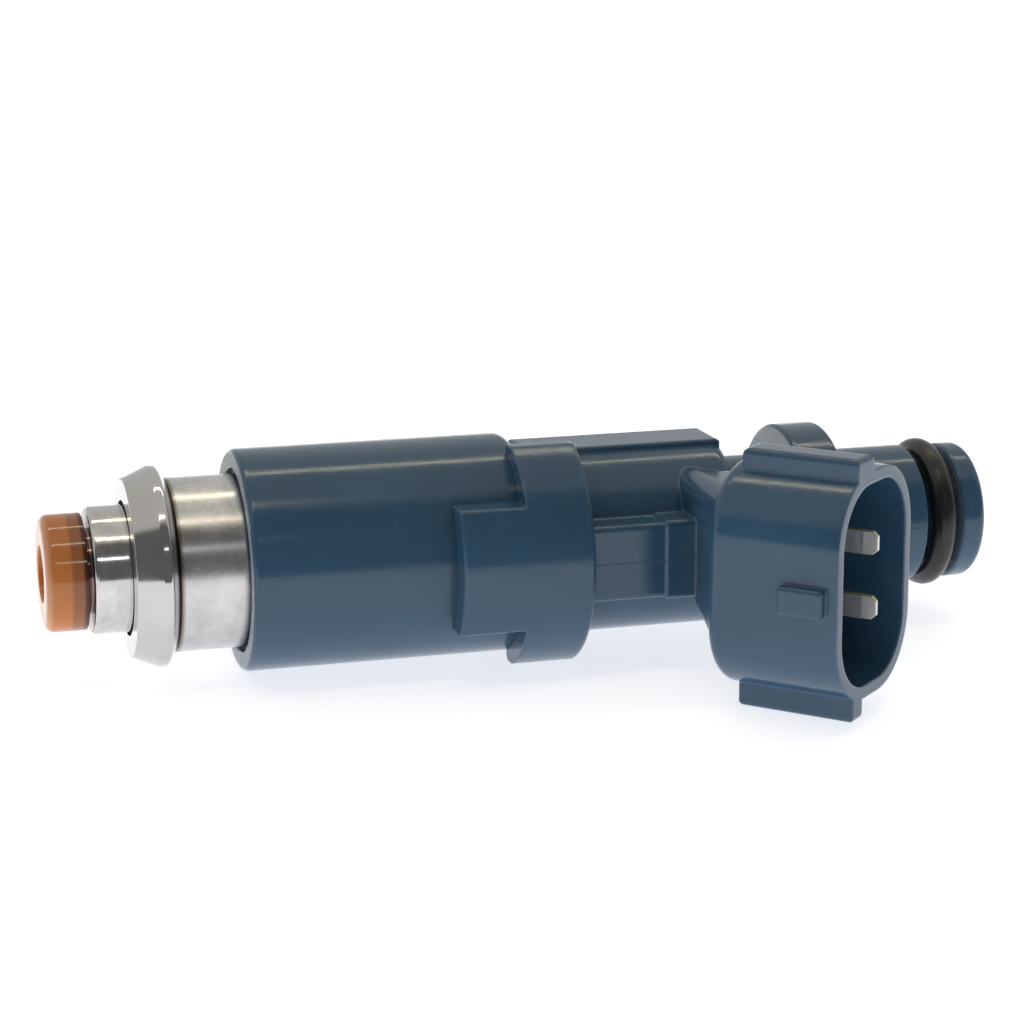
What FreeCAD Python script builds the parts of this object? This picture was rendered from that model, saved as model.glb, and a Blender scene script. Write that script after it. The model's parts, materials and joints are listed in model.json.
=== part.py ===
import FreeCAD, Part
import math
import os

# Top-feed fuel injector, millimetres.
# +X runs along the injector from the spray tip to the fuel inlet, -Y is the side where the electrical
# connector stands out, and +Z is up. The origin is on the axis, at the front face of the flared ring.

V = FreeCAD.Vector

# ---- Driving dimensions: outside ------------------------------------------------------------------
TIP_X = -6.4              # front face of the spray cap
CAP_R = 4.52
CAP_END_X = -3.2
CAP_HOLE_R = 2.25         # recess in the cap's front face
NOZZLE_R = 4.93
NOZZLE_NECK_R = 4.73
NOZZLE_X = -2.85          # front shoulder of the nozzle body
RING_FACE_R = 6.9
RING_CREST_R = 7.78
RING_CREST_X = 2.35
RING_END_X = 3.2
HOUSING_R = 6.74
SLEEVE_R = 8.66
SLEEVE_X = (8.5, 30.5)
BAND_R = 9.45             # outer curve of the band and of the terminal block
BAND_CENTRE_Y = -1.45
BAND_X = (29.35, 34.55)
BAND_HALF_Z = 8.7
BAND_BACK_Y = -3.6
FOOT_Y = 2.6
BLOCK_X = 24.1
BLOCK_HALF_Z = 4.9
BODY_R = 7.65
BODY_X = (31.1, 47.8)
PAD_Z = 7.74              # flat on top of the body
PAD_HALF_Y = 2.5
LEDGE_Y = -9.8            # terminal channel along the body
LEDGE_HALF_Z = 2.96
LEDGE_STEP_X = 40.5       # the channel's cover is raised from here on
LEDGE_STEP = 0.15
LEDGE_END_X = 44.0
NECK_R = 5.65
COLLAR_R = 8.0
COLLAR_X = (53.2, 56.9)
GROOVE_X = (64.5, 67.6)
GROOVE_R = 4.04
END_X = 69.7
END_R = 5.57

# ---- Driving dimensions: connector ----------------------------------------------------------------
MOUTH = V(53.2, -20.53, 0)     # centre of the socket's mouth
CONNECTOR_ANGLE = 47.0         # of the connector's axis, from +X towards -Y, degrees
SOCKET_HALF = (5.73, 7.73)     # inside half width and half height
SOCKET_CORNER_R = 4.5
SOCKET_WALL = 0.96
SOCKET_DEPTH = 9.6
SHROUD_LENGTH = 10.8
RAIL_NEAR = -3.4               # side face of both rails
RAIL_TOP_FAR = -0.6
RAIL_BOTTOM_FAR = -1.7
RAIL_TOP_Z = 9.9
RAIL_BOTTOM_Z = -10.2
RAIL_LENGTH = 9.4
CONNECTOR_NECK_X = 42.9        # side of the connector's neck that faces the spray end
CONNECTOR_NECK_TOP_Z = 6.2
LUG_LENGTH = (-4.55, -0.95)
LUG_Z = (-1.4, 0.8)
LUG_HEIGHT = 0.85
BLADE_OFFSET = 1.9             # of the blades, from the socket's middle towards the injector
BLADE_SPACING = 5.04
BLADE_TIP = 0.55               # below the mouth
BLADE_WIDTH = 1.8
BLADE_THICKNESS = 0.64

# ---- Driving dimensions: inside -------------------------------------------------------------------
CORE_R = 3.7              # soft-iron core inside the coil
TUBE_R = 3.4              # core's tube inside the moulding
FLANGE_R = 5.9            # nozzle body's flange, inside the housing
COIL_SHELL_R = 7.55       # housing around the coil
COIL_SPACE_R = 6.95
ARMATURE_R = 3.65
ARMATURE_BORE_R = 3.75
ARMATURE_X = (9.6, 15.2)
LIFT = 0.1                # needle travel
CORE_X = ARMATURE_X[1] + LIFT + 0.05
COIL_SPACE_X = (13.6, 28.6)
BOBBIN_X = (14.9, 27.2)
YOKE_X = (27.4, 28.8)
NEEDLE_R = 1.2
GUIDE_R = 1.95
GUIDE_BORE_R = 2.0
SPRING_X = (11.8, 21.0)
SPRING_MEAN_R = 1.25
SPRING_WIRE_R = 0.2
SPRING_TURNS = 10
PIPE_R = 1.6
FILTER_BORE_R = 2.9
FILTER_X = (56.0, 69.0)
ORING_SECTION_R = 1.02
ORING_X = 66.1
STRIP_Y = (-9.3, -8.8)    # terminal strips in the channel
STRIP_Z = (0.8, 2.4)
WINDOW_X = (24.8, 28.2)   # opening in housing and sleeve where the terminals come out
WINDOW_HALF_Z = 2.6
GAP = 0.03                # between moulded or pressed pieces that touch


# ---- Small helpers --------------------------------------------------------------------------------
def rounded_wire(corners):
    """A closed wire in the XY plane through (x, y) or (x, y, radius) corners."""
    edges = []
    starts = []
    ends = []
    count = len(corners)
    for i, corner in enumerate(corners):
        here = V(corner[0], corner[1], 0)
        radius = corner[2] if len(corner) > 2 else 0
        if not radius:
            starts.append(here)
            ends.append(here)
            continue
        before = corners[i - 1]
        after = corners[(i + 1) % count]
        back = (V(before[0], before[1], 0) - here).normalize()
        ahead = (V(after[0], after[1], 0) - here).normalize()
        half_angle = back.getAngle(ahead) / 2
        reach = radius / math.tan(half_angle)
        first = here + back * reach
        last = here + ahead * reach
        bisector = (back + ahead).normalize()
        middle = here + bisector * (radius / math.sin(half_angle) - radius)
        edges.append(Part.Arc(first, middle, last).toShape())
        starts.append(first)
        ends.append(last)
    for i in range(count):
        following = starts[(i + 1) % count]
        if (ends[i] - following).Length > 1e-6:
            edges.append(Part.makeLine(ends[i], following))
    return Part.Wire(Part.__sortEdges__(edges))


def turned(corners):
    """A solid of revolution about X from its (x, radius) half section."""
    face = Part.Face(rounded_wire(corners))
    return face.revolve(V(0, 0, 0), V(1, 0, 0), 360)


def cylinder(x_start, x_end, radius):
    return Part.makeCylinder(radius, x_end - x_start, V(x_start, 0, 0), V(1, 0, 0))


def tube(x_start, x_end, outer, inner):
    return turned([(x_start, inner), (x_end, inner), (x_end, outer), (x_start, outer)])


def box(low, high):
    return Part.makeBox(high[0] - low[0], high[1] - low[1], high[2] - low[2], V(*low))


def side_prism(corners, x_start, x_end):
    """A prism along X from (y, z) corners, which may be rounded."""
    face = Part.Face(rounded_wire(corners))
    face.rotate(V(0, 0, 0), V(1, 1, 1), 120)
    face.translate(V(x_start, 0, 0))
    return face.extrude(V(x_end - x_start, 0, 0))


def ring_oring(x_middle, mean_radius, section_radius):
    ring = Part.makeTorus(mean_radius, section_radius, V(0, 0, 0), V(1, 0, 0))
    ring.translate(V(x_middle, 0, 0))
    return ring


def fused(first, *others):
    return first.multiFuse(list(others)).removeSplitter()


def in_connector(shape):
    """Place a shape drawn about the mouth, with the connector's axis along +X."""
    placed = shape.copy()
    placed.rotate(V(0, 0, 0), V(0, 0, 1), -CONNECTOR_ANGLE)
    placed.translate(MOUTH)
    return placed


def connector_prism(half_width, half_height, corner_radius, start, end):
    """A rounded bar along the connector's axis, from start to end, measured from the mouth."""
    corners = [
        (half_width, half_height, corner_radius),
        (-half_width, half_height, corner_radius),
        (-half_width, -half_height, corner_radius),
        (half_width, -half_height, corner_radius),
    ]
    return side_prism(corners, start, end)


def edges_at(shape, test):
    return [edge for edge in shape.Edges if test(edge.BoundBox)]


# ---- Spray end ------------------------------------------------------------------------------------
def spray_cap():
    """Plastic cap snapped over the nozzle's nose, with two spray holes in its end wall."""
    body = turned([
        (TIP_X, CAP_HOLE_R, 0.15), (TIP_X, CAP_R, 0.75), (CAP_END_X, CAP_R, 0.12), (CAP_END_X, 3.33),
        (-4.87, 3.33), (-4.87, 2.6), (-5.3, 2.2), (-5.3, 0), (-5.75, 0), (-5.75, CAP_HOLE_R - 0.15),
    ])
    for side in (-1, 1):
        hole = Part.makeCylinder(0.6, 2, V(-6.2, side * 0.95, 0), V(1, 0, 0))
        body = body.cut(hole)
    return body


def orifice_plate():
    """Thin plate under the nozzle's nose, with four metering holes."""
    plate = cylinder(-4.85, -4.6, 2.5)
    for turn in range(4):
        angle = math.radians(45 + 90 * turn)
        place = V(-5, 0.45 * math.cos(angle), 0.45 * math.sin(angle))
        plate = plate.cut(Part.makeCylinder(0.11, 1, place, V(1, 0, 0)))
    return plate


def nozzle_body():
    """Steel valve body: nose, seat cone, needle guide, and a flange held in the housing."""
    return turned([
        (-4.6, 0.5), (-4.6, 3.3, 0.2), (NOZZLE_X, 3.3), (NOZZLE_X, NOZZLE_R, 0.3), (0, NOZZLE_R),
        (0, NOZZLE_NECK_R), (3.92, NOZZLE_NECK_R), (3.92, FLANGE_R), (8.4, FLANGE_R),
        (8.4, GUIDE_BORE_R + 0.5), (7.6, GUIDE_BORE_R), (-2.6, GUIDE_BORE_R), (-4.1, 0.5),
    ])


def needle_valve():
    """Needle with a conical tip, two guide lands with fuel flats, a stop flange and a stem."""
    seat_slope = (GUIDE_BORE_R - 0.5) / 1.5
    tip_x = -4.05
    tip_r = 0.5 + (tip_x + 4.1) * seat_slope - 0.02
    needle = turned([
        (tip_x, 0), (tip_x, tip_r), (-3.1, tip_r + (-3.1 - tip_x) * seat_slope), (-2.5, 1.5),
        (-2.2, GUIDE_R), (-0.6, GUIDE_R), (-0.3, NEEDLE_R), (5.2, NEEDLE_R), (5.4, GUIDE_R),
        (7.2, GUIDE_R), (7.4, NEEDLE_R), (8.0, NEEDLE_R), (8.0, 1.75), (8.3, 1.75), (8.3, 1.1),
        (ARMATURE_X[0] + 2.0, 1.1), (ARMATURE_X[0] + 2.0, 0),
    ])
    for x_start in (-2.3, 5.1):
        for turn in range(4):
            flat = box((x_start, 1.7, -2), (x_start + 2.3, 2.2, 2))
            flat.rotate(V(0, 0, 0), V(1, 0, 0), 90 * turn)
            needle = needle.cut(flat)
    return needle


def stop_washer():
    """Spacer that limits the needle's lift, with the slot it is slipped on through."""
    washer = tube(8.42, 9.2, FLANGE_R - GAP, 1.45)
    return washer.cut(box((8, -1.3, -7), (10, 1.3, 0)))


def armature():
    """Soft-iron plunger on the needle's stem, with the spring's pocket and fuel holes."""
    front, rear = ARMATURE_X
    plunger = turned([
        (front, 1.1 + 0.005), (front, ARMATURE_R, 0.2), (rear, ARMATURE_R, 0.1), (rear, 1.55),
        (SPRING_X[0], 1.55), (SPRING_X[0], 0.6), (front + 2.02, 0.6), (front + 2.02, 1.1 + 0.005),
    ])
    for turn in range(4):
        place = V(front - 1, 0, 2.6)
        hole = Part.makeCylinder(0.45, rear - front + 2, place, V(1, 0, 0))
        hole.rotate(V(0, 0, 0), V(1, 0, 0), 90 * turn)
        plunger = plunger.cut(hole)
    return plunger


def return_spring():
    """Coil spring between the armature's pocket and the adjusting pipe, with ground ends."""
    start = SPRING_X[0] + 0.05
    length = SPRING_X[1] - SPRING_X[0] - 0.1
    pitch = length / SPRING_TURNS
    helix = Part.makeHelix(pitch, length - 2 * SPRING_WIRE_R, SPRING_MEAN_R)
    section = Part.makeCircle(SPRING_WIRE_R, V(SPRING_MEAN_R, 0, 0), V(0, 1, 0))
    spring = Part.Wire(helix.Edges).makePipeShell([Part.Wire([section])], True, True)
    spring.rotate(V(0, 0, 0), V(0, 1, 0), 90)
    spring.translate(V(start + SPRING_WIRE_R, 0, 0))
    return spring


def adjusting_pipe():
    """Split pipe pressed into the core; it sets the spring's preload."""
    pipe = turned([
        (SPRING_X[1], 0.8), (SPRING_X[1], PIPE_R - GAP, 0.15), (32, PIPE_R - GAP, 0.15), (32, 0.8),
    ])
    return pipe.cut(box((SPRING_X[1] - 1, -0.15, 0), (33, 0.15, 2)))


# ---- Magnet circuit -------------------------------------------------------------------------------
def body_housing():
    """Deep-drawn and turned steel shell that holds the nozzle body and surrounds the coil."""
    shell = turned([
        (RING_END_X + 0.02, NOZZLE_NECK_R + 0.05), (RING_END_X + 0.02, HOUSING_R, 0.25), (9.8, HOUSING_R),
        (10.4, COIL_SHELL_R), (COIL_SPACE_X[1], COIL_SHELL_R), (COIL_SPACE_X[1], COIL_SPACE_R),
        (COIL_SPACE_X[0], COIL_SPACE_R), (COIL_SPACE_X[0], ARMATURE_BORE_R), (9.22, ARMATURE_BORE_R),
        (9.22, FLANGE_R), (3.9, FLANGE_R), (3.9, NOZZLE_NECK_R + 0.05),
    ])
    return shell.cut(terminal_window())


def fixed_core():
    """Soft-iron core and fuel tube in one piece, from the armature to the inlet."""
    return turned([
        (CORE_X, PIPE_R), (CORE_X, CORE_R, 0.1), (YOKE_X[1], CORE_R), (YOKE_X[1], TUBE_R),
        (FILTER_X[1], TUBE_R), (FILTER_X[1], FILTER_BORE_R), (FILTER_X[0] - 1, FILTER_BORE_R),
        (FILTER_X[0] - 2.2, 2.1), (36, 2.1), (35.2, PIPE_R),
    ])


def guide_ring():
    """Non-magnetic ring that bridges the gap between armature and core."""
    return tube(COIL_SPACE_X[0] + 0.02, 17.5, 4.6, ARMATURE_BORE_R)


def coil_bobbin():
    """Flanged bobbin, with the post that carries the terminals out through the window."""
    front, rear = BOBBIN_X
    spool = turned([
        (front, 4.65), (front, 6.6, 0.15), (front + 1, 6.6), (front + 1, 5.0), (rear - 1.4, 5.0),
        (rear - 1.4, 6.6), (rear, 6.6, 0.15), (rear, 5.05), (rear - 1.2, 5.05), (rear - 1.2, CORE_R + GAP),
        (17.6, CORE_R + GAP), (17.6, 4.65),
    ])
    post = box((25.85, -8.6, -2.4), (rear, -6.0, 2.4))
    return fused(spool, post).cut(terminal_strip(1)).cut(terminal_strip(-1))


def coil_winding():
    """The wound copper as one closed ring."""
    return tube(BOBBIN_X[0] + 1.02, BOBBIN_X[1] - 1.42, 6.3, 5.0 + 0.02)


def coil_tape():
    return tube(BOBBIN_X[0] + 1.02, BOBBIN_X[1] - 1.42, 6.45, 6.32)


def coil_seals():
    """Rubber rings that keep fuel out of the coil: one in front of the bobbin, one behind."""
    lower = ring_oring(COIL_SPACE_X[0] + 0.65, 5.3, 0.6)
    upper = ring_oring(BOBBIN_X[1] - 0.55, 4.38, 0.6)
    return lower, upper


def yoke_plate():
    """Steel plate that closes the magnet circuit, with a notch for the terminal post."""
    plate = tube(YOKE_X[0], YOKE_X[1], COIL_SPACE_R - GAP, CORE_R + GAP)
    return plate.cut(box((YOKE_X[0] - 1, -8, -2.7), (YOKE_X[1] + 1, -5.2, 2.7)))


def terminal_window():
    return box((WINDOW_X[0], -12, -WINDOW_HALF_Z), (WINDOW_X[1], -5.5, WINDOW_HALF_Z))


# ---- Outside pieces -------------------------------------------------------------------------------
def retaining_ring():
    """Flared steel ring in front of the housing: flat face, cone, crest and a rounded back."""
    return turned([
        (0, NOZZLE_R + 0.3), (0, RING_FACE_R, 0.15), (RING_CREST_X - 0.35, RING_CREST_R, 0.4),
        (RING_CREST_X + 0.25, RING_CREST_R, 0.35), (RING_END_X, HOUSING_R + 0.1, 0.1),
        (RING_END_X, NOZZLE_NECK_R + 0.04), (0.9, NOZZLE_NECK_R + 0.04), (0.9, NOZZLE_R + 0.3),
    ])


def main_sleeve():
    """Moulded sleeve around the coil housing, with a recessed mouth around the steel."""
    front, rear = SLEEVE_X
    sleeve = turned([
        (front, 7.15, 0.2), (front, SLEEVE_R, 0.5), (rear, SLEEVE_R, 0.95), (rear, COIL_SHELL_R + GAP),
        (10.4, COIL_SHELL_R + GAP), (9.8, HOUSING_R + GAP), (9.2, HOUSING_R + GAP), (9.2, 7.15),
    ])
    return sleeve.cut(terminal_window())


def rail_oring():
    """Black ring that seals the injector in the fuel rail."""
    return ring_oring(ORING_X, GROOVE_R + 0.02 + ORING_SECTION_R, ORING_SECTION_R)


def inlet_filter():
    """Basket filter in the inlet: brass ring, plastic frame and the screen inside it."""
    start, end = FILTER_X
    ring = tube(end - 1.5, end, FILTER_BORE_R - GAP, 2.3)
    ring_front = end - 1.5 - 0.02
    frame = fused(
        tube(ring_front - 1.2, ring_front, 2.7, 2.2),
        turned([(start, 0), (start, 2.0, 0.3), (start + 1, 2.3), (start + 1, 0)]),
        *[frame_rib(turn, start + 0.5, ring_front - 0.6) for turn in range(4)],
    )
    screen = tube(start + 1.02, ring_front - 1.22, 2.08, 2.0)
    return ring, frame, screen


def frame_rib(turn, x_start, x_end):
    rib = box((x_start, 2.12, -0.35), (x_end, 2.6, 0.35))
    rib = rib.common(cylinder(x_start, x_end, 2.6))
    rib.rotate(V(0, 0, 0), V(1, 0, 0), 90 * turn + 45)
    return rib


# ---- Terminals ------------------------------------------------------------------------------------
def terminal_strip(side):
    """Flat strip from the coil's post, through the channel, to the connector blade."""
    blade_middle = MOUTH + in_connector_direction(0, BLADE_OFFSET)
    mid_y = (STRIP_Y[0] + STRIP_Y[1]) / 2
    back = (mid_y - blade_middle.y) / math.sin(math.radians(CONNECTOR_ANGLE))
    bend_x = blade_middle.x - back * math.cos(math.radians(CONNECTOR_ANGLE))
    low_z, high_z = sorted((side * STRIP_Z[0], side * STRIP_Z[1]))
    strip = box((26.2, STRIP_Y[0], low_z), (bend_x, STRIP_Y[1], high_z))
    leg = box((26.2, STRIP_Y[1], low_z + 0.3), (26.7, -7.0, high_z - 0.3))
    return fused(strip, leg, terminal_blade(side, back + 0.3))


def tapered_outline(length, half_width, taper, inset):
    """Outline of a bar that ends at the blade's tip, where each side comes in by inset over taper."""
    tip = -BLADE_TIP
    return rounded_wire([
        (-length, -half_width), (tip - taper, -half_width), (tip, inset - half_width),
        (tip, half_width - inset), (tip - taper, half_width), (-length, half_width),
    ])


def terminal_blade(side, length):
    """Blade along the connector's axis, with its tip bevelled on all four sides."""
    half_width = BLADE_WIDTH / 2
    half_thickness = BLADE_THICKNESS / 2
    plan = Part.Face(tapered_outline(length, half_thickness, 1.1, 0.17))
    plan.translate(V(0, 0, -half_width))
    plan_bar = plan.extrude(V(0, 0, BLADE_WIDTH))
    side_view = Part.Face(tapered_outline(length, half_width, 0.4, 0.35))
    side_view.rotate(V(0, 0, 0), V(1, 0, 0), 90)
    side_view.translate(V(0, half_thickness, 0))
    side_bar = side_view.extrude(V(0, -BLADE_THICKNESS, 0))
    blade = plan_bar.common(side_bar)
    blade.translate(V(0, BLADE_OFFSET, side * BLADE_SPACING / 2))
    return in_connector(blade)


def in_connector_direction(along, across):
    turn = FreeCAD.Rotation(V(0, 0, 1), -CONNECTOR_ANGLE)
    return turn.multVec(V(along, across, 0))


# ---- Connector moulding ---------------------------------------------------------------------------
def band_and_block():
    """Curved band over the sleeve's end, and the block that covers the terminal window."""
    curve = cylinder(BLOCK_X, BAND_X[1], BAND_R)
    curve.translate(V(0, BAND_CENTRE_Y, 0))
    band = side_prism([
        (-12, -BAND_HALF_Z), (-12, BAND_HALF_Z), (BAND_BACK_Y, BAND_HALF_Z, 0.6),
        (BAND_BACK_Y, -BAND_HALF_Z, 0.6),
    ], *BAND_X).common(curve)
    corners = edges_at(band, lambda b: b.XLength > 5 and abs(abs(b.ZMax) - BAND_HALF_Z) < 0.01
                       and b.YMax < BAND_BACK_Y - 0.8)
    band = band.makeFillet(0.7, corners)
    rims = edges_at(band, lambda b: b.XLength < 0.01 and b.XMin > BAND_X[1] - 0.01)
    band = band.makeFillet(0.35, rims)
    block = box((BLOCK_X, -12, -BLOCK_HALF_Z), (BAND_X[0] + 0.5, -2, BLOCK_HALF_Z)).common(curve)
    outer = edges_at(block, lambda b: b.YMax < -8.8 and b.XMin < BAND_X[0] - 0.2)
    block = block.makeFillet(0.4, outer)
    return fused(band, block).cut(cylinder(BLOCK_X - 1, SLEEVE_X[1] + 0.15, SLEEVE_R + GAP))


def resting_foot():
    """Low foot under the band, on the side away from the connector, that the injector lies on."""
    foot = box((SLEEVE_X[1] + 0.1, BAND_BACK_Y - 1, -BAND_HALF_Z),
               (BAND_X[1] - 0.4, FOOT_Y, 1.2 - BODY_R))
    return foot.makeFillet(0.5, edges_at(foot, lambda b: b.YMin > FOOT_Y - 0.01 and b.ZLength > 1))


def moulded_body():
    """Round body with its top flat, the plug into the sleeve, neck, collar and end flange."""
    front, rear = BODY_X
    plug_r = COIL_SHELL_R - 0.02
    groove_r = BODY_R - 0.45
    body = turned([
        (YOKE_X[1] + 0.05, 0), (YOKE_X[1] + 0.05, plug_r), (SLEEVE_X[1], plug_r), (SLEEVE_X[1], groove_r),
        (front, groove_r), (front, BODY_R, 0.25), (rear, BODY_R, 1.0), (rear, NECK_R), (COLLAR_X[0], NECK_R),
        (COLLAR_X[0], COLLAR_R, 0.35), (COLLAR_X[1], COLLAR_R, 0.35), (COLLAR_X[1], NECK_R),
        (GROOVE_X[0], NECK_R, 0.2), (GROOVE_X[0], GROOVE_R), (GROOVE_X[1], GROOVE_R),
        (GROOVE_X[1], END_R, 0.3), (END_X, END_R, 0.7), (END_X, 0),
    ])
    pad = box((front + 0.15, -PAD_HALF_Y, 0), (rear - 0.35, PAD_HALF_Y, PAD_Z))
    pad = pad.makeFillet(0.3, edges_at(pad, lambda b: b.ZMin > PAD_Z - 0.01))
    return fused(body, pad)


def terminal_channel():
    """Ledge along the body that carries the terminals to the connector, in two levels."""
    ledge = box((BAND_X[1] - 1, LEDGE_Y, -LEDGE_HALF_Z), (LEDGE_STEP_X + 0.5, 0, LEDGE_HALF_Z))
    raised = box((LEDGE_STEP_X, LEDGE_Y - LEDGE_STEP, -LEDGE_HALF_Z - LEDGE_STEP),
                 (LEDGE_END_X, 0, LEDGE_HALF_Z + LEDGE_STEP))
    rounded = []
    for level in (ledge, raised):
        front = level.BoundBox.YMin
        long_edges = edges_at(level, lambda b: b.XLength > 2 and b.YMax < front + 0.01)
        rounded.append(level.makeFillet(0.4, long_edges))
    return fused(*rounded)


def connector_neck():
    """Block between the body and the socket, with a round upper edge and a sloping underside."""
    bar = connector_prism(6.2, CONNECTOR_NECK_TOP_Z, 2.6, -SHROUD_LENGTH - 12, -SHROUD_LENGTH + 1)
    outline = side_prism([
        (-20, -CONNECTOR_NECK_TOP_Z), (-20, CONNECTOR_NECK_TOP_Z), (-3, CONNECTOR_NECK_TOP_Z),
        (-3, -LEDGE_HALF_Z), (-9, -LEDGE_HALF_Z, 1.5), (-15.5, -CONNECTOR_NECK_TOP_Z, 2.5),
    ], CONNECTOR_NECK_X, CONNECTOR_NECK_X + 15)
    upper_corner = edges_at(outline, lambda b: b.XLength < 0.01 and b.XMax < CONNECTOR_NECK_X + 0.01
                            and b.ZMin > CONNECTOR_NECK_TOP_Z - 0.01)
    outline = outline.makeFillet(1.5, upper_corner)
    return in_connector(bar).common(outline)


def connector_shroud():
    """Open socket with two rails and a latch lug."""
    half_width, half_height = SOCKET_HALF
    wall = SOCKET_WALL
    outer = connector_prism(half_width + wall, half_height + wall, SOCKET_CORNER_R + wall,
                            -SHROUD_LENGTH, 0)
    outer = outer.makeFillet(1.0, edges_at(outer, lambda b: b.XMax < -SHROUD_LENGTH + 0.01))
    top_rail = box((-RAIL_LENGTH, RAIL_NEAR, 5), (0, RAIL_TOP_FAR, RAIL_TOP_Z))
    bottom_rail = box((-RAIL_LENGTH, RAIL_NEAR, RAIL_BOTTOM_Z), (0, RAIL_BOTTOM_FAR, -5))
    rails = []
    for rail, crest in ((top_rail, RAIL_TOP_Z), (bottom_rail, RAIL_BOTTOM_Z)):
        edges = edges_at(rail, lambda b: b.ZLength < 0.01 and abs(b.ZMax - crest) < 0.01)
        rails.append(rail.makeFillet(0.45, edges))
    return fused(outer, *rails, latch_lug())


def socket_cavity():
    half_width, half_height = SOCKET_HALF
    cavity = connector_prism(half_width, half_height, SOCKET_CORNER_R, -SOCKET_DEPTH, 1)
    return cavity.makeFillet(0.4, edges_at(cavity, lambda b: b.XMax < -SOCKET_DEPTH + 0.01))


def latch_lug():
    face = -(SOCKET_HALF[0] + SOCKET_WALL)
    lug = box((LUG_LENGTH[0], face - LUG_HEIGHT, LUG_Z[0]), (LUG_LENGTH[1], face + 0.3, LUG_Z[1]))
    return lug.makeFillet(0.3, edges_at(lug, lambda b: b.YMin < face - LUG_HEIGHT + 0.01
                                        and b.YLength < 0.01 or b.YLength > 0.5))


def connector_moulding():
    solid = fused(moulded_body(), resting_foot(), terminal_channel(), band_and_block(), connector_neck(),
                  in_connector(connector_shroud()))
    solid = solid.cut(in_connector(socket_cavity()))
    solid = solid.cut(cylinder(YOKE_X[0], FILTER_X[1], TUBE_R + GAP))
    inlet = turned([(FILTER_X[1] - 0.5, 0), (FILTER_X[1] - 0.5, FILTER_BORE_R),
                    (END_X - 0.3, FILTER_BORE_R), (END_X + 0.1, FILTER_BORE_R + 0.4), (END_X + 0.1, 0)])
    solid = solid.cut(inlet)
    post_space = box((25.8, -8.65, -2.45), (28.2, -5, 2.45))
    return solid.cut(post_space).cut(terminal_strip(1)).cut(terminal_strip(-1))


# ---- Every node -----------------------------------------------------------------------------------
def all_nodes():
    lower_seal, upper_seal = coil_seals()
    filter_ring, filter_frame, filter_screen = inlet_filter()
    return {
        "spray_cap": spray_cap(),
        "orifice_plate": orifice_plate(),
        "nozzle_body": nozzle_body(),
        "needle_valve": needle_valve(),
        "stop_washer": stop_washer(),
        "armature": armature(),
        "return_spring": return_spring(),
        "adjusting_pipe": adjusting_pipe(),
        "body_housing": body_housing(),
        "fixed_core": fixed_core(),
        "guide_ring": guide_ring(),
        "coil_bobbin": coil_bobbin(),
        "coil_winding": coil_winding(),
        "coil_tape": coil_tape(),
        "lower_coil_seal": lower_seal,
        "upper_coil_seal": upper_seal,
        "yoke_plate": yoke_plate(),
        "retaining_ring": retaining_ring(),
        "main_sleeve": main_sleeve(),
        "connector_moulding": connector_moulding(),
        "terminal_upper": terminal_strip(1),
        "terminal_lower": terminal_strip(-1),
        "rail_oring": rail_oring(),
        "filter_ring": filter_ring,
        "filter_frame": filter_frame,
        "filter_screen": filter_screen,
    }


os.makedirs("parts", exist_ok=True)
for name, shape in all_nodes().items():
    shape.exportStep("parts/" + name + ".step")
    print(name, "solids", len(shape.Solids), "valid", shape.isValid(), "volume", round(shape.Volume, 2))
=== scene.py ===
"""Looks of a top-feed fuel injector: finishes, parting line, wound return spring, camera, light and floor."""

import json
import math

import bmesh
import bpy
from mathutils import Matrix, Vector


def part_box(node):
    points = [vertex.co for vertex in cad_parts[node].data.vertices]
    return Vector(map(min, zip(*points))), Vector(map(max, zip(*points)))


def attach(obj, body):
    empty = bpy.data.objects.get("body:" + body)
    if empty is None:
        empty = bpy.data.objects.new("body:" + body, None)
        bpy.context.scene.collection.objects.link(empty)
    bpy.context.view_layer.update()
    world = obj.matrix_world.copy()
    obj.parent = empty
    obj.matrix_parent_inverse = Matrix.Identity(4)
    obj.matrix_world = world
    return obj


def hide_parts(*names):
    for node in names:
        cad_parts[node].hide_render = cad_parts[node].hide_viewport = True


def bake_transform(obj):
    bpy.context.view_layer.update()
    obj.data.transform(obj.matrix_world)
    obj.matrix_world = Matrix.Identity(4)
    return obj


MM = 0.001

# Camera, in the part's frame
CAMERA_AT = Vector((-24.618, -195.323, 50.023)) * MM
CAMERA_AZIMUTH = math.radians(15.865)
CAMERA_ELEVATION = math.radians(13.225)
CAMERA_ROLL = math.radians(-0.236)
CAMERA_LENS = 92.08

# The tip's end, and where a finish, a painted shade or a painted reflection changes along X, from the first
# place to the second, mm
TIP_X = -6.4
CAP_NOSE = (TIP_X + 0.45, TIP_X + 0.9)
CAP_HOLLOW_END = (-4.60, -4.30)
CAP_RIM_SHADE = (-3.70, -3.42)
NOZZLE_FACE = (-2.8, -2.95)
NOZZLE_SHOULDER = (-1.6, -2.4)
HOUSING = (2.0, 3.0)
HOUSING_SEAM = (3.75, 3.35)
RING_BACK = (2.95, 3.15)
SLEEVE_FRONT = (9.2, 9.0)
COLLAR_FRONT = (52.5, 53.0)

# Dark brown painted shade for the seam where the ring meets the housing
SEAM_SHADE = (0.10, 0.065, 0.045)

# Two faces that meet at more than this angle keep a sharp edge
SHARP_FROM = math.radians(28)

# How it lies: rolled about its own axis, with the sleeve on the floor, the lower rail just above it
# and the foot under the band up to 0.26 mm into it
RESTING_ROLL = math.radians(5.8)
UP = Vector((0, -math.sin(RESTING_ROLL), math.cos(RESTING_ROLL)))

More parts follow.
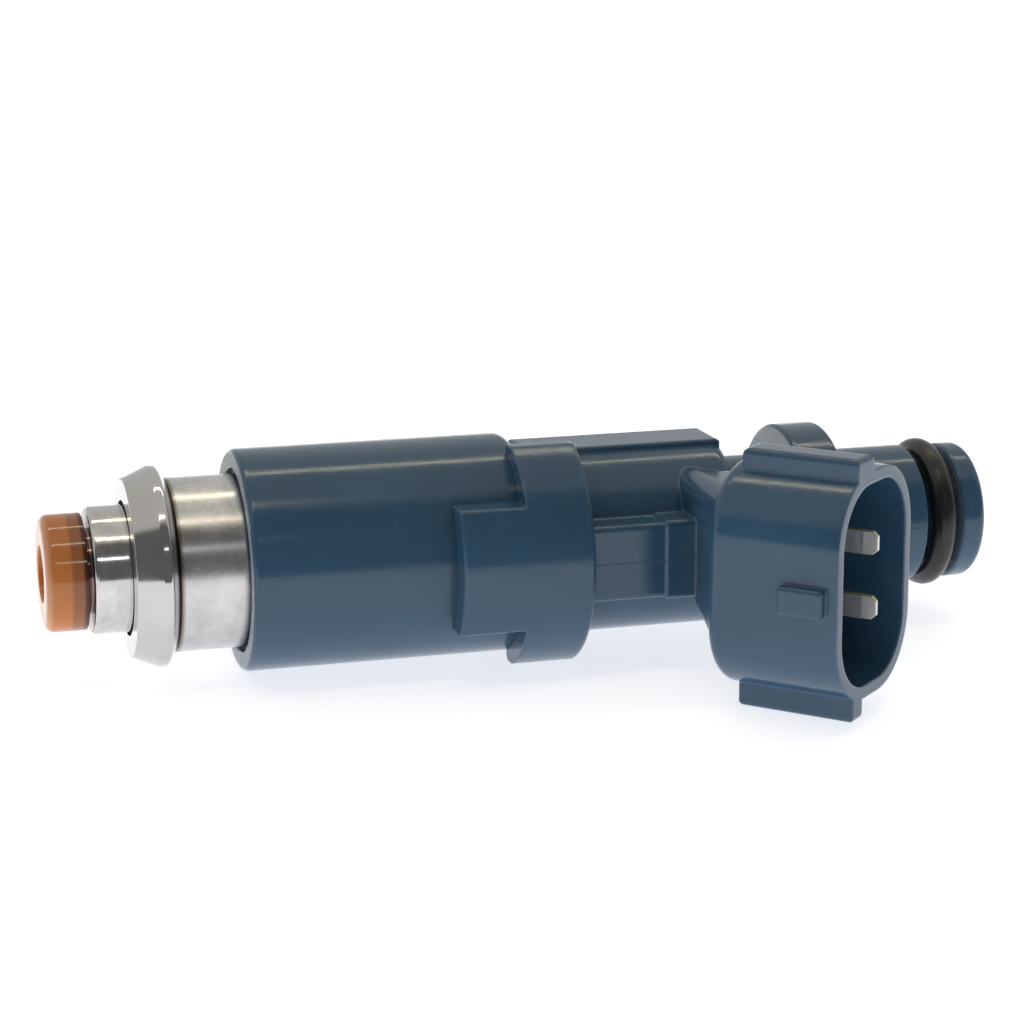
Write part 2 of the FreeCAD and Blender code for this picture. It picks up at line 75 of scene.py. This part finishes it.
# Parting line, mm: each run goes from X to X, and stands on the surface at Y
PARTING_RUNS = ((34.5, 40.5, -9.8), (40.5, 42.9, -9.95), (31.4, 46.7, 7.65),
                (47.8, 53.2, 5.65), (53.5, 56.6, 8.0), (56.9, 64.3, 5.65), (56.9, 64.3, -5.65))
PARTING_HEIGHT = 0.018
PARTING_SINK = 0.02
PARTING_HALF_WIDTH = 0.09

# Return spring
SPRING_WIRE_R = 0.2 * MM
SPRING_TURNS = 10
SPRING_STEPS = 24           # round each turn
SPRING_SIDES = 10           # round the wire

# Room: its strength goes from CEILING to FRONT_WALL as the cosine between FRONT and a direction,
# seen along X, goes through WALL_EDGE, and its tint from cool to warm as the direction's Z goes
# through TINT_HEIGHTS
FRONT = Vector((0, -0.965, 0.26)).normalized()
WALL_EDGE = (0.60, 0.73)
CEILING = 0.62
FRONT_WALL = 0.15
TINT_HEIGHTS = (0.15, 0.75)
COOL_TINT = (0.95, 0.98, 1.0)
WARM_TINT = (1.0, 0.97, 0.89)

# Floor
FLOOR_HALF = 3.0
FLOOR_COLOUR = (0.80, 0.81, 0.84)
FLOOR_GLOW = 0.74
FLOOR_GLOW_COLOUR = (0.98, 0.98, 1.0)

# Strips and lamp
STRIP_WIDTH = 20 * MM
STRIP_DISTANCE = 600 * MM
STRIPS = ((70, -80, 380), (111, 110, 640))      # angle above the front, degrees; middle and length in X, mm
STRIP_RADIANCE = 10.0
STRIP_COLOUR = (1.0, 0.90, 0.66)
LAMP_SIZE = (17 * MM, 22 * MM)
LAMP_AT = Vector((68, -508, 321)) * MM
LAMP_AIM = Vector((0, -5, 0)) * MM
LAMP_POWER = 0.024
LAMP_COLOUR = (0.93, 0.97, 1.0)


class Finish:
    """A Principled material, built up node by node from textures in the part's own coordinates."""

    def __init__(self, name, colour, roughness, **sockets):
        self.material = bpy.data.materials.new(name)
        self.material.use_nodes = True
        self.tree = self.material.node_tree
        self.surface = self.tree.nodes["Principled BSDF"]
        self.surface.inputs["Base Color"].default_value = (*colour, 1)
        self.surface.inputs["Roughness"].default_value = roughness
        for socket, value in sockets.items():
            self.surface.inputs[socket.replace("_", " ")].default_value = value
        self.place = self.node("ShaderNodeTexCoord").outputs["Object"]

    def node(self, kind, **settings):
        made = self.tree.nodes.new(kind)
        for name, value in settings.items():
            setattr(made, name, value)
        return made

    def feed(self, target, value):
        """Puts a number, a colour or another node's output on a socket."""
        if isinstance(value, bpy.types.NodeSocket):
            self.tree.links.new(value, target)
        else:
            target.default_value = value

    def stretched(self, per_mm):
        """The part's coordinates with a number of texture units to the millimetre along each axis."""
        mapping = self.node("ShaderNodeMapping")
        self.feed(mapping.inputs["Vector"], self.place)
        self.feed(mapping.inputs["Scale"], [s / MM for s in per_mm])
        return mapping.outputs["Vector"]

    def noise(self, per_mm, detail=3.0, rough=0.5):
        texture = self.node("ShaderNodeTexNoise")
        self.feed(texture.inputs["Vector"], self.stretched(per_mm))
        self.feed(texture.inputs["Scale"], 1.0)
        self.feed(texture.inputs["Detail"], detail)
        self.feed(texture.inputs["Roughness"], rough)
        return texture.outputs["Fac"]

    def cells(self, per_mm):
        """Distance to the nearest of many scattered points."""
        texture = self.node("ShaderNodeTexVoronoi", feature="F1")
        self.feed(texture.inputs["Vector"], self.stretched(per_mm))
        self.feed(texture.inputs["Scale"], 1.0)
        return texture.outputs["Distance"]

    def ranged(self, source, low, high, to_low=0.0, to_high=1.0):
        """A source's values from low to high, mapped smoothly to another range."""
        made = self.node("ShaderNodeMapRange", interpolation_type="SMOOTHSTEP")
        self.feed(made.inputs["Value"], source)
        for name, value in (("From Min", low), ("From Max", high), ("To Min", to_low), ("To Max", to_high)):
            self.feed(made.inputs[name], value)
        return made.outputs["Result"]

    def maths(self, operation, a, b=0.0):
        made = self.node("ShaderNodeMath", operation=operation)
        self.feed(made.inputs[0], a)
        self.feed(made.inputs[1], b)
        return made.outputs[0]

    def mix(self, share, a, b):
        made = self.node("ShaderNodeMix", data_type="RGBA")
        self.feed(made.inputs["Factor"], share)
        for socket, value in ((made.inputs[6], a), (made.inputs[7], b)):
            self.feed(socket, value if isinstance(value, bpy.types.NodeSocket) else (*value, 1))
        return made.outputs[2]

    def normal(self, kind, axis):
        """One component of the surface's direction: Normal is smoothed, and True Normal is the face's own."""
        parts = self.node("ShaderNodeSeparateXYZ")
        self.feed(parts.inputs[0], self.node("ShaderNodeNewGeometry").outputs[kind])
        return parts.outputs[axis]

    def facing_tip(self, start, full):
        """Faces that look towards the tip: 0 to 1 as the X of their direction goes from start to full."""
        return self.ranged(self.normal("True Normal", "X"), start, full)

    def rounded_edges(self, radius_mm):
        """Shades sharp edges as if rounded, and gives back how near to an edge each point is, 0 to 1."""
        bevel = self.node("ShaderNodeBevel", samples=6)
        self.feed(bevel.inputs["Radius"], radius_mm * MM)
        self.feed(self.surface.inputs["Normal"], bevel.outputs["Normal"])
        turn = self.node("ShaderNodeVectorMath", operation="DOT_PRODUCT")
        self.feed(turn.inputs[0], bevel.outputs["Normal"])
        self.feed(turn.inputs[1], self.node("ShaderNodeNewGeometry").outputs["Normal"])
        return self.ranged(turn.outputs["Value"], 0.84, 0.995, 1.0, 0.0)

    def along_x(self, places, to_low=0.0, to_high=1.0):
        """Changes from one value to another between two places on X, mm."""
        parts = self.node("ShaderNodeSeparateXYZ")
        self.feed(parts.inputs[0], self.place)
        return self.ranged(parts.outputs["X"], places[0] * MM, places[1] * MM, to_low, to_high)

    def colour(self, value):
        self.feed(self.surface.inputs["Base Color"], value)

    def roughness(self, value):
        self.feed(self.surface.inputs["Roughness"], value)

    def bump(self, height, depth_mm, strength=1.0):
        """Adds a height texture on top of any earlier one."""
        made = self.node("ShaderNodeBump")
        self.feed(made.inputs["Height"], height)
        self.feed(made.inputs["Distance"], depth_mm * MM)
        self.feed(made.inputs["Strength"], strength)
        normal = self.surface.inputs["Normal"]
        if normal.is_linked:
            self.feed(made.inputs["Normal"], normal.links[0].from_socket)
        self.feed(normal, made.outputs["Normal"])


def blue_plastic():
    """Glossy slate-blue moulding with paler edges painted as highlights and partly as rubbed wear, frosted
    and painted with a pale sheen on the front of its sleeve and its collar.
    """
    base = (0.034, 0.092, 0.165)
    finish = Finish("blue_plastic", base, 0.25, IOR=1.52)
    edges = finish.rounded_edges(0.30)
    flow = finish.noise((0.10, 0.22, 0.22), detail=4.0)
    scuffs = finish.ranged(finish.noise((0.12, 4.5, 4.5), detail=4.0, rough=0.6), 0.62, 0.80)
    specks = finish.ranged(finish.cells((1.3, 1.3, 1.3)), 0.035, 0.06, 1.0, 0.0)
    # Front faces of the sleeve and collar: matt frosted moulding, with a painted pale sheen from grazing
    # light
    fronts = finish.maths("MAXIMUM", finish.along_x(SLEEVE_FRONT), finish.along_x(COLLAR_FRONT, 0.0, 0.45))
    frost_and_sheen = finish.maths("MULTIPLY", finish.facing_tip(-0.93, -0.98), fronts)
    grain = finish.noise((5, 5, 5), detail=4.0, rough=0.7)
    tone = finish.mix(flow, [c * 0.84 for c in base], [c * 1.18 for c in base])
    tone = finish.mix(finish.maths("MULTIPLY", scuffs, 0.22), tone, (0.16, 0.21, 0.26))
    tone = finish.mix(finish.maths("MULTIPLY", specks, 0.35), tone, (0.35, 0.40, 0.45))
    # Painted highlight: edges lightened to pale blue, partly standing for rubbed wear
    tone = finish.mix(finish.maths("MULTIPLY", edges, 0.65), tone, (0.12, 0.22, 0.40))
    pale = finish.mix(finish.ranged(grain, 0.35, 0.65), (0.18, 0.23, 0.29), (0.48, 0.52, 0.58))
    finish.colour(finish.mix(frost_and_sheen, tone, pale))
    smears = finish.noise((0.35, 0.8, 0.8), detail=5.0, rough=0.65)
    gloss = finish.maths("ADD", finish.ranged(smears, 0.3, 0.75, 0.12, 0.20),
                         finish.maths("MULTIPLY", scuffs, 0.12))
    finish.roughness(finish.maths("ADD", gloss, finish.maths("MULTIPLY", frost_and_sheen, 0.3)))
    finish.bump(finish.noise((4, 4, 4), detail=4.0, rough=0.7), 0.006, 0.6)
    finish.bump(finish.noise((0.4, 0.4, 0.4), detail=2.0), 0.02, 0.25)
    return finish


def amber_plastic():
    """Translucent amber cap: golden over its hollow, painted browner as shade where steel lies behind it,
    painted dark as shade at its rim by the nozzle, with a painted pale sheen on its front face.
    """
    golden = (0.59, 0.195, 0.045)
    # brown: painted darker tone where the steel nose inside shades the amber
    brown = (0.36, 0.130, 0.052)
    # rim: colour of the painted shade in the gap between the cap and the nozzle
    rim = (0.075, 0.018, 0.010)
    finish = Finish("amber_plastic", golden, 0.1, IOR=1.5, Subsurface_Weight=0.25,
                    Subsurface_Scale=1.0 * MM)
    finish.surface.inputs["Subsurface Radius"].default_value = (1.0, 0.42, 0.15)
    cloud = finish.noise((0.5, 0.6, 0.6), detail=3.0)
    tone = finish.mix(finish.maths("MULTIPLY", cloud, 0.35), golden, (0.58, 0.28, 0.10))
    # Painted shade: browner over the steel nose than over the hollow
    tone = finish.mix(finish.along_x(CAP_HOLLOW_END), tone, brown)
    # Painted shade: the cap's rim darkened towards the nozzle
    tone = finish.mix(finish.along_x(CAP_RIM_SHADE), tone, rim)
    # Painted sheen: the cap's front face near the tip lightened to a pale pink, as grazing reflection would
    face = finish.maths("MULTIPLY", finish.along_x(CAP_NOSE, 1.0, 0.0), finish.facing_tip(-0.25, -0.75))
    finish.colour(finish.mix(finish.maths("MULTIPLY", face, 0.35), tone, (0.75, 0.52, 0.42)))
    finish.roughness(finish.ranged(finish.noise((1.5, 0.4, 0.4)), 0.3, 0.7, 0.07, 0.13))
    finish.bump(finish.noise((6, 0.7, 0.7)), 0.001, 0.3)
    return finish


def turned_steel():
    """Turned steel: smooth on the nozzle with a painted dark reflection of the amber cap and painted shade on
    its front, satin and pitted on the housing, with painted shade in its seam against the ring.
    """
    finish = Finish("turned_steel", (0.60, 0.59, 0.56), 0.2, Metallic=1.0)
    satin = finish.along_x(HOUSING)
    marks = finish.noise((11, 0.25, 0.25), detail=4.0, rough=0.7)
    stain = finish.noise((0.55, 0.5, 0.5), detail=6.0, rough=0.7)
    spots = finish.ranged(finish.cells((2.2, 2.2, 2.2)), 0.03, 0.10, 1.0, 0.0)
    pits = finish.maths("MULTIPLY", spots, satin)
    tone = finish.mix(finish.ranged(stain, 0.3, 0.7), (0.53, 0.53, 0.54), (0.69, 0.68, 0.68))
    tone = finish.mix(finish.maths("MULTIPLY", marks, 0.18), tone, (0.44, 0.44, 0.43))
    tone = finish.mix(finish.maths("MULTIPLY", pits, 0.45), tone, (0.22, 0.22, 0.22))
    # Painted shade: the housing darkened in its seam against the ring's back
    seam_shade = finish.maths("MULTIPLY", finish.along_x(HOUSING_SEAM), satin)
    tone = finish.mix(finish.maths("MULTIPLY", seam_shade, 0.8), tone, SEAM_SHADE)
    # Painted reflection and shade: the nozzle's front and shoulder coloured dark reddish brown, as if
    # mirroring the amber cap in shadow
    shoulder = finish.maths("MULTIPLY", finish.facing_tip(-0.80, -0.95), finish.along_x(NOZZLE_SHOULDER))
    cap_reflection_shade = finish.maths("MAXIMUM", shoulder, finish.along_x(NOZZLE_FACE))
    finish.colour(finish.mix(finish.maths("MULTIPLY", cap_reflection_shade, 0.92), tone, (0.11, 0.035, 0.022)))
    finish.roughness(finish.maths("ADD", finish.ranged(stain, 0.25, 0.75, 0.10, 0.17),
                                  finish.maths("MULTIPLY", satin, 0.11)))
    finish.bump(marks, 0.002, 0.25)
    finish.bump(finish.noise((0.6, 0.5, 0.5), detail=3.0), 0.010, 0.20)
    return finish


def polished_steel():
    """Bright polished steel with faint turning marks and haze, with painted shade at the ring's back where it
    meets the housing.
    """
    finish = Finish("polished_steel", (0.62, 0.615, 0.60), 0.1, Metallic=1.0)
    marks = finish.noise((7, 0.3, 0.3), detail=3.0, rough=0.6)
    haze = finish.noise((0.45, 0.45, 0.45), detail=5.0, rough=0.65)
    tone = finish.mix(haze, (0.53, 0.53, 0.53), (0.61, 0.60, 0.61))
    # Painted shade: the ring's back darkened towards the seam with the housing
    finish.colour(finish.mix(finish.along_x(RING_BACK, 0.0, 0.8), tone, SEAM_SHADE))
    finish.roughness(finish.ranged(haze, 0.3, 0.7, 0.06, 0.14))
    finish.bump(marks, 0.0015, 0.2)
    return finish


def plain_metal(name, colour, roughness):
    """Satin metal with fine marks around the axis, for the pieces inside."""
    finish = Finish(name, colour, roughness, Metallic=1.0)
    marks = finish.noise((8, 0.4, 0.4), detail=3.0, rough=0.6)
    finish.colour(finish.mix(marks, [c * 0.8 for c in colour], colour))
    finish.bump(marks, 0.004, 0.3)
    return finish


def copper_wire():
    """Enamelled copper windings: fine rounded turns side by side around the bobbin."""
    finish = Finish("copper_wire", (0.55, 0.17, 0.05), 0.25, Metallic=0.9, Coat_Weight=0.6,
                    Coat_Roughness=0.1)
    turns = finish.node("ShaderNodeTexWave", wave_type="BANDS", bands_direction="X", wave_profile="SIN")
    finish.feed(turns.inputs["Vector"], finish.stretched((1, 1, 1)))
    finish.feed(turns.inputs["Scale"], 1.6)
    finish.colour(finish.mix(turns.outputs["Fac"], (0.25, 0.06, 0.02), (0.62, 0.22, 0.07)))
    finish.bump(turns.outputs["Fac"], 0.05, 0.8)
    return finish


def tinned_brass():
    """Flat blade stock: tinned silvery faces with golden sheared edges."""
    finish = Finish("tinned_brass", (0.62, 0.60, 0.55), 0.3, Metallic=0.75)
    edge = finish.ranged(finish.maths("ABSOLUTE", finish.normal("Normal", "Z")), 0.5, 0.9)
    grain = finish.noise((3, 3, 1.2), detail=3.0)
    rim = finish.maths("MAXIMUM", edge, finish.rounded_edges(0.12))
    tin = finish.mix(grain, (0.78, 0.77, 0.74), (0.93, 0.92, 0.88))
    finish.colour(finish.mix(rim, tin, (0.85, 0.68, 0.32)))
    finish.roughness(finish.ranged(grain, 0.3, 0.7, 0.36, 0.50))
    finish.bump(grain, 0.002, 0.3)
    return finish


def rubber(name, colour):
    """Smooth oiled rubber with a fine matt grain."""
    finish = Finish(name, colour, 0.3, IOR=1.5)
    grain = finish.noise((12, 12, 12), detail=3.0)
    finish.colour(finish.mix(grain, [c * 0.7 for c in colour], [c * 1.4 for c in colour]))
    finish.roughness(finish.ranged(finish.noise((0.7, 0.7, 0.7), detail=4.0), 0.3, 0.7, 0.2, 0.36))
    finish.bump(grain, 0.004, 0.5)
    return finish


def plain_plastic(name, colour):
    """Matt moulding with a fine grain, for the pieces inside."""
    finish = Finish(name, colour, 0.5)
    grain = finish.noise((4, 4, 4), detail=3.0)
    finish.colour(finish.mix(grain, [c * 0.85 for c in colour], colour))
    finish.bump(grain, 0.006, 0.5)
    return finish


def woven_screen():
    """Fine steel screen: a square weave drawn by two crossing sets of bands."""
    finish = Finish("filter_mesh", (0.5, 0.5, 0.5), 0.35, Metallic=1.0)
    bands = []
    for direction in ("X", "Z"):
        band = finish.node("ShaderNodeTexWave", wave_type="BANDS", bands_direction=direction)
        finish.feed(band.inputs["Vector"], finish.stretched((1, 1, 1)))
        finish.feed(band.inputs["Scale"], 1.4)
        bands.append(band.outputs["Fac"])
    weave = finish.maths("MAXIMUM", *bands)
    finish.colour(finish.mix(weave, (0.06, 0.06, 0.06), (0.6, 0.6, 0.6)))
    finish.bump(weave, 0.05, 0.8)
    return finish


def make_finishes():
    """One finish for each material slot of the record."""
    return {
        "blue_plastic": blue_plastic(),
        "amber_plastic": amber_plastic(),
        "turned_steel": turned_steel(),
        "polished_steel": polished_steel(),
        "core_steel": plain_metal("core_steel", (0.42, 0.42, 0.41), 0.38),
        "spring_steel": plain_metal("spring_steel", (0.50, 0.50, 0.51), 0.3),
        "black_rubber": rubber("black_rubber", (0.012, 0.012, 0.013)),
        "brown_rubber": rubber("brown_rubber", (0.10, 0.035, 0.02)),
        "copper_wire": copper_wire(),
        "coil_plastic": plain_plastic("coil_plastic", (0.03, 0.03, 0.03)),
        "tape_plastic": plain_plastic("tape_plastic", (0.55, 0.36, 0.10)),
        "tinned_brass": tinned_brass(),
        "filter_brass": plain_metal("filter_brass", (0.62, 0.43, 0.17), 0.3),
        "filter_plastic": plain_plastic("filter_plastic", (0.60, 0.57, 0.48)),
        "filter_mesh": woven_screen(),
    }


def paint_nodes(frame, finishes):
    """Gives every CAD node the finish of its slot in the record."""
    for entry in frame["record"]["subparts"]:
        node = frame["nodes"][entry["node"]]
        for slot in node.material_slots:
            slot.material = finishes[entry["material_slot"]].material


def smooth_nodes(frame):
    """Shades the CAD nodes smoothly between their sharp edges."""
    for node in frame["nodes"].values():
        node.data.shade_smooth()
        node.data.set_sharp_from_angle(angle=SHARP_FROM)


def new_piece(name, mesh, finish):
    """Turns a bmesh into a piece with a finish."""
    bmesh.ops.recalc_face_normals(mesh, faces=mesh.faces)
    data = bpy.data.meshes.new(name)
    mesh.to_mesh(data)
    mesh.free()
    data.materials.append(finish.material)
    piece = bpy.data.objects.new(name, data)
    bpy.context.scene.collection.objects.link(piece)
    return piece


def join_rings(mesh, rings):
    """Skins a run of closed rings of points and caps its two ends."""
    for near, far in zip(rings, rings[1:]):
        for i in range(len(near)):
            mesh.faces.new((near[i - 1], near[i], far[i], far[i - 1]))
    mesh.faces.new(rings[0])
    mesh.faces.new(rings[-1])


def add_parting_line(finish):
    """The mould's parting line: a low ridge along both sides of the moulding, at Z = 0."""
    mesh = bmesh.new()
    for start, end, side in PARTING_RUNS:
        out = math.copysign(1, side)
        foot = side - PARTING_SINK * out
        crest = side + PARTING_HEIGHT * out
        section = ((foot, -PARTING_HALF_WIDTH), (crest, -PARTING_HALF_WIDTH / 3),
                   (crest, PARTING_HALF_WIDTH / 3), (foot, PARTING_HALF_WIDTH))
        rings = [[mesh.verts.new(Vector((x, y, z)) * MM) for y, z in section] for x in (start, end)]
        join_rings(mesh, rings)
    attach(new_piece("parting_line", mesh, finish), "root")


def add_return_spring(finish):
    """The return spring as a wound wire, one end on the needle's body and the other on the adjusting pipe."""
    low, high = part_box("return_spring")
    mean_r = (high.y - low.y) / 2 - SPRING_WIRE_R
    start = low.x + SPRING_WIRE_R
    pitch = (high.x - SPRING_WIRE_R - start) / SPRING_TURNS
    along = Vector((1, 0, 0))
    mesh = bmesh.new()
    rings = []
    for step in range(SPRING_TURNS * SPRING_STEPS + 1):
        turns = step / SPRING_STEPS
        outward = Vector((0, math.cos(math.tau * turns), math.sin(math.tau * turns)))
        middle = along * (start + pitch * turns) + outward * mean_r
        ring = []
        for side in range(SPRING_SIDES):
            angle = math.tau * side / SPRING_SIDES
            reach = outward * math.cos(angle) + along * math.sin(angle)
            ring.append(mesh.verts.new(middle + reach * SPRING_WIRE_R))
        rings.append(ring)
    join_rings(mesh, rings)
    for face in mesh.faces:
        face.smooth = True
    spring = new_piece("return_spring_coil", mesh, finish)
    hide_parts("return_spring")
    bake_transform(spring)


def add_camera():
    """Camera in front of the injector, nearer to its tip than to its inlet and a little above."""
    back = Vector((-math.sin(CAMERA_AZIMUTH) * math.cos(CAMERA_ELEVATION),
                   -math.cos(CAMERA_AZIMUTH) * math.cos(CAMERA_ELEVATION), math.sin(CAMERA_ELEVATION)))
    right = Vector((math.cos(CAMERA_AZIMUTH), -math.sin(CAMERA_AZIMUTH), 0))
    axes = Matrix((right, back.cross(right), back)).transposed()
    camera = bpy.data.objects.new("camera", bpy.data.cameras.new("camera"))
    bpy.context.scene.collection.objects.link(camera)
    turned = Matrix.Rotation(CAMERA_ROLL, 3, back) @ axes
    camera.matrix_world = Matrix.Translation(CAMERA_AT) @ turned.to_4x4()
    camera.data.lens = CAMERA_LENS
    camera.data.clip_start = 10 * MM
    bpy.context.scene.camera = camera


def add_room():
    """Pale room, a little warm overhead, and dark only in front, where the camera stands."""
    world = bpy.data.worlds.new("room")
    world.use_nodes = True
    bpy.context.scene.world = world
    nodes = world.node_tree.nodes
    links = world.node_tree.links
    direction = nodes.new("ShaderNodeTexCoord").outputs["Generated"]
    level = nodes.new("ShaderNodeVectorMath")
    level.operation = "MULTIPLY"
    links.new(direction, level.inputs[0])
    level.inputs[1].default_value = (0, 1, 1)
    unit = nodes.new("ShaderNodeVectorMath")
    unit.operation = "NORMALIZE"
    links.new(level.outputs[0], unit.inputs[0])
    facing = nodes.new("ShaderNodeVectorMath")
    facing.operation = "DOT_PRODUCT"
    links.new(unit.outputs[0], facing.inputs[0])
    facing.inputs[1].default_value = FRONT
    strength = nodes.new("ShaderNodeMapRange")
    strength.interpolation_type = "SMOOTHSTEP"
    links.new(facing.outputs["Value"], strength.inputs["Value"])
    edge, dark_edge = WALL_EDGE
    settings = {"From Min": edge, "From Max": dark_edge, "To Min": CEILING, "To Max": FRONT_WALL}
    for name, value in settings.items():
        strength.inputs[name].default_value = value
    height = nodes.new("ShaderNodeSeparateXYZ")
    links.new(direction, height.inputs[0])
    tint = nodes.new("ShaderNodeValToRGB")
    links.new(height.outputs["Z"], tint.inputs["Fac"])
    for stop, place, colour in zip(tint.color_ramp.elements, TINT_HEIGHTS, (COOL_TINT, WARM_TINT)):
        stop.position = place
        stop.color = (*colour, 1)
    background = nodes["Background"]
    links.new(tint.outputs["Color"], background.inputs["Color"])
    links.new(strength.outputs["Result"], background.inputs["Strength"])


def add_area_light(name, place, aim, size, power, colour):
    light = bpy.data.lights.new(name, "AREA")
    light.shape = "RECTANGLE"
    light.size, light.size_y = size
    light.energy = power
    light.color = colour
    lamp = bpy.data.objects.new(name, light)
    bpy.context.scene.collection.objects.link(lamp)
    lamp.location = place
    lamp.rotation_euler = (aim - place).to_track_quat("-Z", "Y").to_euler()


def add_lights():
    """Two warm strips overhead along the injector, and one small lamp high in front for crisp glints."""
    for number, (degrees, middle, length) in enumerate(STRIPS):
        angle = math.radians(degrees)
        place = Vector((middle * MM, -math.cos(angle) * STRIP_DISTANCE, math.sin(angle) * STRIP_DISTANCE))
        aim = Vector((place.x, 0, 0))
        power = STRIP_RADIANCE * math.pi * length * MM * STRIP_WIDTH
        size = (length * MM, STRIP_WIDTH)
        add_area_light(f"strip_{number + 1}", place, aim, size, power, STRIP_COLOUR)
    add_area_light("lamp", LAMP_AT, LAMP_AIM, LAMP_SIZE, LAMP_POWER, LAMP_COLOUR)


def add_floor(sleeve_r):
    """Plain white floor under the injector as it lies, glowing a little like a light table."""
    across = UP.cross(Vector((1, 0, 0))).normalized()
    middle = -UP * sleeve_r
    corners = [middle + (Vector((x, 0, 0)) + across * y) * FLOOR_HALF
               for x, y in ((-1, -1), (1, -1), (1, 1), (-1, 1))]
    mesh = bpy.data.meshes.new("floor")
    mesh.from_pydata(corners, [], [(0, 1, 2, 3)])
    floor = bpy.data.objects.new("floor", mesh)
    bpy.context.scene.collection.objects.link(floor)
    finish = Finish("floor", FLOOR_COLOUR, 0.8, Emission_Strength=FLOOR_GLOW)
    finish.surface.inputs["Emission Color"].default_value = (*FLOOR_GLOW_COLOUR, 1)
    mesh.materials.append(finish.material)


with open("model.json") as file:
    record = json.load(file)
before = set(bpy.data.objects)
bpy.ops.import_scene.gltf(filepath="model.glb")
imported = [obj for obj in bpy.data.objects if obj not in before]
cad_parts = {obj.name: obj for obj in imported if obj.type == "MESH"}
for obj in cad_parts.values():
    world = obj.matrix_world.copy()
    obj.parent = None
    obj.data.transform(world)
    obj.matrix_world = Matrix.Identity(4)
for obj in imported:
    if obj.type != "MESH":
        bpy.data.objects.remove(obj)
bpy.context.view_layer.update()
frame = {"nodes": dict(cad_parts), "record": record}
bpy.context.scene.view_settings.view_transform = "Standard"
smooth_nodes(frame)
finishes = make_finishes()
paint_nodes(frame, finishes)
add_parting_line(finishes["blue_plastic"])
add_return_spring(finishes["spring_steel"])
add_camera()
add_room()
add_lights()
add_floor(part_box("main_sleeve")[1].z)
